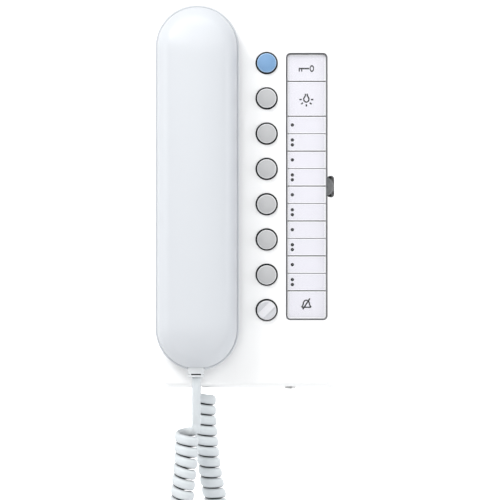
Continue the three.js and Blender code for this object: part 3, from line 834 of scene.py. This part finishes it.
def makeBackShell():
    back, seam = handset['back'], handset['seam']
    wall, rimWidth, grooveWidth, grooveDeep = 2.0, 0.82, 0.2, 0.1
    rounding = [(4.2 * (1 - math.sin(a)), back + 3.6 * (1 - math.cos(a)))
                for a in [math.radians(90 * k / 8) for k in range(9)]]
    outer = [tubRing(inset, out) for inset, out in rounding]
    outer += [tubRing(0, seam - 0.5), tubRing(0.1, seam - 0.15), tubRing(0.3, seam)]
    grooveOut, grooveIn = rimWidth, rimWidth + grooveWidth
    outer += [tubRing(grooveOut - 0.1, seam), tubRing(grooveOut, seam - 0.1)]
    outer += [tubRing(grooveOut, seam - grooveDeep), tubRing(grooveIn, seam - grooveDeep)]
    outer += [tubRing(grooveIn, seam)]
    inner = [tubRing(wall + 0.2, seam), tubRing(wall + 0.2, back + wall + 2), tubRing(wall + 2, back + wall)]
    shell = raw('handset_back', loft([*outer, *inner]))
    cups = [(earSpot, handset['earCup'], handset['earBack']),
            (micSpot, handset['micCup'], handset['micBack'])]
    for spot, radius, low in cups:
        edge = [(radius - 1.6 * (1 - math.sin(a)), low + 1.6 * (1 - math.cos(a)))
                for a in [math.radians(90 * k / 6) for k in range(7)]]
        carve(shell, lathe([*edge, (radius, back + 1.5)], spot, 96), 'UNION')
        carve(shell, lathe([(radius - 1.7, low + 1.4), (radius - 1.7, back + 6)], spot, 96))
    holeSpots = [earSpot, micSpot]
    for count, reach in ((6, 3.0), (12, 6.0)):
        for k in range(count):
            a = 2 * math.pi * k / count
            holeSpots.append((earSpot[0] + reach * math.cos(a), earSpot[1] + reach * math.sin(a)))
    holeSpots += [(micSpot[0] + 2.4 * side, micSpot[1]) for side in (-1, 1)]
    for spot in holeSpots:
        carve(shell, lathe([(0.75, 12), (0.75, 20)], spot, 20))
    for side in (-1, 1):
        spot = (handset['x'], handset['y'] + side * handset['screws'])
        carve(shell, lathe([(3.0, back - 2), (2.9, back + 1.4)], spot, 40))
        carve(shell, lathe([(1.6, back), (1.6, back + 6)], spot, 24))
    carve(shell, plugMouth(mouth['open']))
    return dress(shell, 'handsetWhite', 'handset', 'handset_white', 'handset_back_shell', angle=50)


cap = {'edge': 0.55, 'crown': 0.42, 'flange': 6.2, 'hollow': 3.2, 'ceiling': 24.2}


def keyProfile(crown):
    front = housing['faceOut'] + keys['proud']
    r, back = keys['radius'], keys['back']
    side = [(cap['flange'], back), (cap['flange'], back + keys['travel'] - 0.1),
            (cap['flange'] - 0.1, back + keys['travel']), (r, back + keys['travel'])]
    edge = [(r - inset, out) for inset, out in roundedEdge(front, cap['edge'])]
    start = r - cap['edge'] - 0.35
    domed = [(start * math.cos(a), front + crown * math.sin(a) ** 2)
             for a in [math.radians(90 * k / 7) for k in range(7)]]
    return [(cap['hollow'], cap['ceiling']), (cap['hollow'], back), *side, *edge, *domed]


def makeKeys():
    front = housing['faceOut'] + keys['proud']
    for i in range(keys['count']):
        spot = (keys['x'], keyUp(i))
        name = f'key_{i + 1}_top'
        last = i == keys['count'] - 1
        look, slot = ('keyBlue', 'key_blue') if i == 0 else ('keyGrey', 'key_grey')
        if last:
            look, slot = 'keyClear', 'key_clear'
        key = raw(name, lathe(keyProfile(0.0 if last else cap['crown']), spot, 80))
        if last:
            rib = {'wide': 3.5, 'slope': 1.1, 'high': 0.62, 'reach': keys['radius'] - 0.42}
            turned = math.radians(45)

            def bar(width, shift, out):
                return [(spot[0] + x * math.cos(turned) - y * math.sin(turned),
                         spot[1] + x * math.sin(turned) + y * math.cos(turned), out)
                        for x, y in roundRect(12, width, 0.3, (0, shift), 4)]

            foot = rib['wide'] + rib['slope']
            band = raw('rib', loft([bar(foot + 0.2, -rib['slope'] / 2 + 0.3, front - 0.7),
                                    bar(foot, -rib['slope'] / 2 + 0.35, front - 0.1),
                                    bar(rib['wide'], 0.35, front + rib['high'])]))
            carve(band, lathe([(rib['reach'], front - 1), (rib['reach'], front + 1)], spot, 80), 'INTERSECT')
            form = bmesh.new()
            form.from_mesh(band.data)
            bpy.data.objects.remove(band)
            carve(key, form, 'UNION')
        dress(key, look, f'key_{i + 1}', slot, f'key_cap_{i + 1}')
        # painted shade, in part a dark seam: the key below the face is coloured near-black so the gap round
        # the cap reads dark
        addMaterialPart(key, 'darkPlastic', lambda x, up, out: out < housing['faceOut'] - 0.6)
        # painted highlight: a lighter copy of the key's colour on the ring round the cap's edge, where the
        # bevel catches light
        addMaterialPart(key, 'blueRimHighlight' if i == 0 else 'greyRimHighlight',
                        lambda x, up, out: keys['radius'] - 0.42 < math.hypot(x - spot[0], up - spot[1])
                        < keys['radius'] - 0.02 and out > front - 0.5)
        if last:
            # painted highlight: the rib's top is a lighter copy of the clear cap's colour
            addMaterialPart(key, 'ribPaintedHighlight', lambda x, up, out: out > front + rib['high'] - 0.05)
            # painted shade: the rib's lower-right flank is coloured dark grey, as if in shadow
            addMaterialPart(key, 'ribPaintedShade',
                            lambda x, up, out: front + 0.1 < out < front + rib['high'] - 0.06
                            and (up - spot[1]) - (x - spot[0]) < -1)


prints = {
    'ink': 0.02, 'line': 0.52, 'dot': 0.86, 'paintedBevelRim': 0.6, 'row': 17.45, 'firstRule': -8.97,
    'dotsAside': -7.15, 'dotsRise': (4.35, -3.15, -5.6), 'stroke': 0.76, 'thin': 0.72, 'ray': 0.74,
}


def slab(form, outline, low, high):
    addLoft(form, [atDepth(outline, low), atDepth(outline, high)])


def strokeOutline(a, b, width):
    a, b = Vector(a), Vector(b)
    along = (b - a).normalized()
    aside = Vector((-along.y, along.x)) * width / 2
    return [tuple(a - aside), tuple(b - aside), tuple(b + aside), tuple(a + aside)]


def ringOutlines(centre, outer, inner, sides=28, squash=1.0):
    # a flat ring as a row of small quads
    quads = []
    for k in range(sides):
        a, b = 2 * math.pi * k / sides, 2 * math.pi * (k + 1) / sides
        quads.append([(centre[0] + r * math.cos(t) * squash, centre[1] + r * math.sin(t))
                      for r, t in ((inner, a), (outer, a), (outer, b), (inner, b))])
    return quads


def makeLabel():
    face = housing['faceOut']
    low = label['tray'] + 0.6
    tint = low + prints['ink']
    top = tint + prints['ink']
    inside = label['width'] / 2 - 0.9
    left, right = label['x'] - inside, label['x'] + inside
    bottom, ceiling = keys['middle'] - label['height'] / 2 + 0.9, keys['middle'] + label['height'] / 2 - 0.9

    dark, pale, cells = bmesh.new(), bmesh.new(), bmesh.new()

    def ruleUp(row):
        # the rows are a shade closer together than the keys
        return keyUp(0) + prints['firstRule'] - prints['row'] * row

    rules = [(ruleUp(i), dark) for i in range(keys['count'] - 1)]
    rules += [(ruleUp(i - 0.5), pale) for i in range(2, keys['count'] - 1)]
    for up, ink in rules:
        slab(ink, strokeOutline((left, up), (right, up), prints['line']), low, top)
    edges = [ceiling, *sorted((up for up, _ in rules), reverse=True), bottom]
    # the tint is the card's colour; each cell's tint stops short of its edges, leaving a pale rim of card as
    # a painted highlight for the bevels catching light
    for above, under in zip(edges, edges[1:]):
        paleRim = prints['paintedBevelRim']
        slab(cells, roundRect(2 * inside - 2 * paleRim, above - under - 2 * paleRim, 0.5,
                              (label['x'], (above + under) / 2), 3), low, tint)
    for i in range(2, keys['count'] - 1):
        for rise in prints['dotsRise']:
            spot = (label['x'] + prints['dotsAside'], ruleUp(i - 0.5) + rise)
            slab(dark, circle(prints['dot'], spot, 20), low, top)

    def stroke(points, width=prints['stroke']):
        for a, b in zip(points, points[1:]):
            slab(dark, strokeOutline(a, b, width), low, top)

    # door opener: a key
    up = keyUp(0) - 2.6
    stroke([(24.0, up), (29.2, up)])
    for quad in ringOutlines((30.55, up), 1.75, 1.0, squash=0.64):
        slab(dark, quad, low, top)
    for x in (24.25, 25.5):
        stroke([(x, up - 0.3), (x, up - 1.5)], 0.6)

    # stair light: a bulb with rays
    middle = (27.8, keyUp(1) - 0.5)
    glass = [(0.45, 2.9), (0.5, 1.75), (1.15, 0.95), (1.35, 0.0), (0.95, -0.95), (0, -1.35)]
    outline = [*glass, *[(-x, y) for x, y in glass[-2::-1]]]
    stroke([(middle[0] + x, middle[1] + y) for x, y in outline], prints['thin'])
    for angle in (180, 222, 270, 318, 0):
        a = math.radians(angle)
        ray = [(middle[0] + reach * math.cos(a), middle[1] + reach * math.sin(a)) for reach in (2.3, 3.5)]
        stroke(ray, prints['ray'])

    # ringing off: a bell struck through
    middle = (27.8, keyUp(keys['count'] - 1) + 2.9)
    bell = [(-2.4, -1.6), (2.4, -1.6), (1.7, -0.6), (1.35, 1.0), (0.6, 1.9), (-0.6, 1.9), (-1.35, 1.0),
            (-1.7, -0.6), (-2.4, -1.6)]
    stroke([(middle[0] + x, middle[1] + y) for x, y in bell], prints['thin'])
    stroke([(middle[0] - 1.8, middle[1] - 2.7), (middle[0] + 1.8, middle[1] + 2.8)], prints['ray'])

    card = roundRect(label['width'] - 1.5, label['height'] - 1.5, 1.5, (label['x'], keys['middle']))
    dress(raw('label_insert', loft([atDepth(card, label['tray'] + 0.3), atDepth(card, low)])),
          'labelCard', 'housing', 'label_paper', 'label_strip')
    dress(raw('label_marks', dark), 'labelInk', 'housing', 'label_paper')
    dress(raw('label_rules', pale), 'labelPaleInk', 'housing', 'label_paper')
    dress(raw('label_cells', cells), 'labelTint', 'housing', 'label_paper')

    # tray with its dark rim; the dark grey is partly the frame's own colour and partly painted shade for the
    # shadowed gap round the window
    gap, rim = label['gap'], label['rim']
    spot = (label['x'], keys['middle'])
    width, height = label['width'] - 2 * gap, label['height'] - 2 * gap

    def trayRing(inset, out):
        return atDepth(roundRect(width - 2 * inset, height - 2 * inset, 2.0 - inset, spot), out)

    trayTop = face - 0.4
    tray = loft([trayRing(0, label['floor'] + gap), trayRing(0, trayTop - 0.12), trayRing(0.12, trayTop),
                 trayRing(rim - 0.1, trayTop), trayRing(rim, trayTop - 0.1), trayRing(rim, label['tray'])])
    dress(raw('label_holder', tray), 'trayGrey', 'housing', 'dark_plastic', 'label_tray')

    # clear window with a soft edge all round
    inside = rim + 0.06

    def paneRing(inset, out):
        return atDepth(roundRect(width - 2 * inside - 2 * inset, height - 2 * inside - 2 * inset,
                                 1.3 - inset, spot), out)

    paneTop = face - 0.2
    pane = loft([paneRing(0, label['tray'] + 0.9), paneRing(0, paneTop - 0.35),
                 paneRing(0.12, paneTop - 0.12), paneRing(0.4, paneTop)])
    dress(raw('label_pane', pane), 'windowClear', 'window', 'window_clear', 'label_window')


def makeWheel():
    spot = (wheel['x'], keys['middle'])
    low, high = wheel['back'], wheel['front']

    def toothed(cut, out):
        points = []
        for k in range(wheel['teeth']):
            for share, drop in ((0.0, 0.32), (0.25, 0.1), (0.5, 0.0), (0.75, 0.1)):
                a = 2 * math.pi * (k + share) / wheel['teeth']
                r = wheel['radius'] - drop - cut
                points.append((spot[0] + r * math.cos(a), spot[1] + r * math.sin(a), out))
        return points

    form = loft([toothed(0.35, low), toothed(0, low + 0.35), toothed(0, high - 0.35), toothed(0.35, high)])
    disc = raw('thumbwheel', form)
    carve(disc, lathe([(wheel['bore'], low - 1), (wheel['bore'], high + 1)], spot, 40))
    carve(disc, loft([atDepth(circle(3.9, spot, 64), high - 0.25), atDepth(circle(4.0, spot, 64), high + 1)]))
    dress(disc, 'wheelGrey', 'volume', 'wheel_grey', 'volume_wheel')


def makePlug(end):
    # a modular plug: window slot in front, four contact slots in its nose, a step down each flank
    seat = plugs[end]
    x, out, bottom, top = seat['x'], seat['out'], seat['bottom'], seat['top']
    halfWide, half = plugShape['width'] / 2, plugShape['depth'] / 2
    slotHalf, slotTall = plugShape['slotWidth'] / 2, plugShape['slotHeight'] / 2

    def ringAt(inset, up):
        outline = roundRect(2 * (halfWide - inset), 2 * (half - inset), 0.5, (x, out), 4)
        return [(across, up, deep) for across, deep in outline]

    rings = [ringAt(0.35, bottom), ringAt(0, bottom + 0.3), ringAt(0, top - 0.3), ringAt(0.3, top)]
    piece = raw(end + '_lead_plug', loft(rings))
    front = out + half
    carve(piece, boxForm(x - slotHalf, x + slotHalf, seat['slot'] - slotTall, seat['slot'] + slotTall,
                         front - plugShape['slotDeep'], front + 1))
    for k in range(plugShape['contacts']):
        contact = x + (k - (plugShape['contacts'] - 1) / 2) * plugShape['contactPitch']
        reach = plugShape['contactWidth'] / 2
        carve(piece, boxForm(contact - reach, contact + reach, top - plugShape['contactLong'], top + 1,
                             out - half + 1.2, front + 1))
    low, high = bottom + plugShape['stepUp'], bottom + plugShape['stepUp'] + plugShape['stepHeight']
    for near, far in [(-half - 1.5, -half + 0.2), (half - 0.2, half + 1.5)]:
        carve(piece, boxForm(x + near, x + far, low, high, out - half - 1, front + 1))
    dress(piece, 'plugClear', seat['body'], 'plug_clear', end + '_plug')
    # painted shade: the faces inside the window slot are coloured near-black
    addMaterialPart(piece, 'darkPlastic', lambda across, up, deep: abs(up - seat['slot']) < slotTall + 0.01
                    and deep < front - 0.05 and abs(across - x) < slotHalf + 0.01)
    return piece


def makeHookPlunger():
    spot = (handset['x'], hook['up'])
    collar = [(4.3, 17), (4.5, 17.2), (4.5, 18.2), (4.3, 18.4), (hook['radius'], 18.4)]
    tip = [(hook['radius'] - inset, out) for inset, out in roundedEdge(hook['tip'], hook['edge'])]
    button = raw('hook_button', lathe([(1.6, 13.2), (1.6, 17), *collar, *tip], spot, 48))
    dress(button, 'keyGrey', 'hook', 'key_grey', 'hook_plunger')


def softenNodes(names, width=0.18):
    # a small round on the edges of plain moulded pieces
    for name in names:
        node = frame['nodes'][name]
        bevel = node.modifiers.new('edges', 'BEVEL')
        bevel.width = width * mm
        bevel.segments = 2
        bevel.limit_method = 'ANGLE'
        bevel.angle_limit = math.radians(40)


def dressNodes():
    for part in frame['record']['subparts']:
        node = frame['nodes'][part['node']]
        if node.hide_render:
            continue
        node.data.materials.clear()
        node.data.materials.append(finishes[finishOfSlot[part['material_slot']]])


def makeFloor(lowest):
    floorOut = room['reach'] / 2
    level = lowest - room['floorUnder']
    form = bmesh.new()
    side = [(floorOut, level)]
    for k in range(13):
        a = math.radians(90 * k / 12)
        side.append((-room['wallBehind'] + room['bend'] * (1 - math.sin(a)),
                     level + room['bend'] * (1 - math.cos(a))))
    side.append((-room['wallBehind'], level + room['reach'] / 2))
    rows = [[form.verts.new(place(x, up, out)) for out, up in side] for x in (-room['reach'], room['reach'])]
    for i in range(len(side) - 1):
        form.faces.new((rows[0][i], rows[0][i + 1], rows[1][i + 1], rows[1][i]))
    floor = raw('floor', form)
    for face in floor.data.polygons:
        face.use_smooth = True
    paint = Finish('floorPaint', Roughness=0.9, Base_Color=(0.93, 0.93, 0.935, 1))
    mottle = paint.noise(paint.spot(), 3.0, 3.0)
    paint.feed('Base Color', paint.mixed(mottle, (0.925, 0.925, 0.93, 1), (0.935, 0.935, 0.94, 1)))
    height = paint.add('ShaderNodeSeparateXYZ', None, {0: paint.spot()}, 'Z')
    risen = paint.ramp(height - level * mm, (0.02, 0.0), (0.3, 1.0))
    paint.feed('Emission Color', paint.mixed(risen, rgba(shaded((1, 1, 1), room['floorGlow'])),
                                             rgba(shaded((1, 1, 1), room['wallGlow']))))
    paint.feed('Emission Strength', 1.0)
    floor.data.materials.append(paint.material)


makeCamera()
makeLights()
cordPiece, cordLength, cordPath = makeCord()
makeCover()
print('housing cover done')
makeFrontShell()
makeBackShell()
print('handset shells done')
makeKeys()
makeLabel()
makeWheel()
makeHookPlunger()
basePlug = makePlug('base')
handsetPlug = makePlug('handset')
print('keys, label, wheel and plugs done')
dressNodes()
softenNodes(['wall_plate', 'terminal_block', 'volume_pot', 'base_socket', 'handset_socket', 'hook_switch'])
makeFloor(min(p[2] for p in cordPath) / mm - cord['coilDiameter'] / 2)
lead = plugs['handset']
place(lead['x'], lead['bottom'], lead['out'])
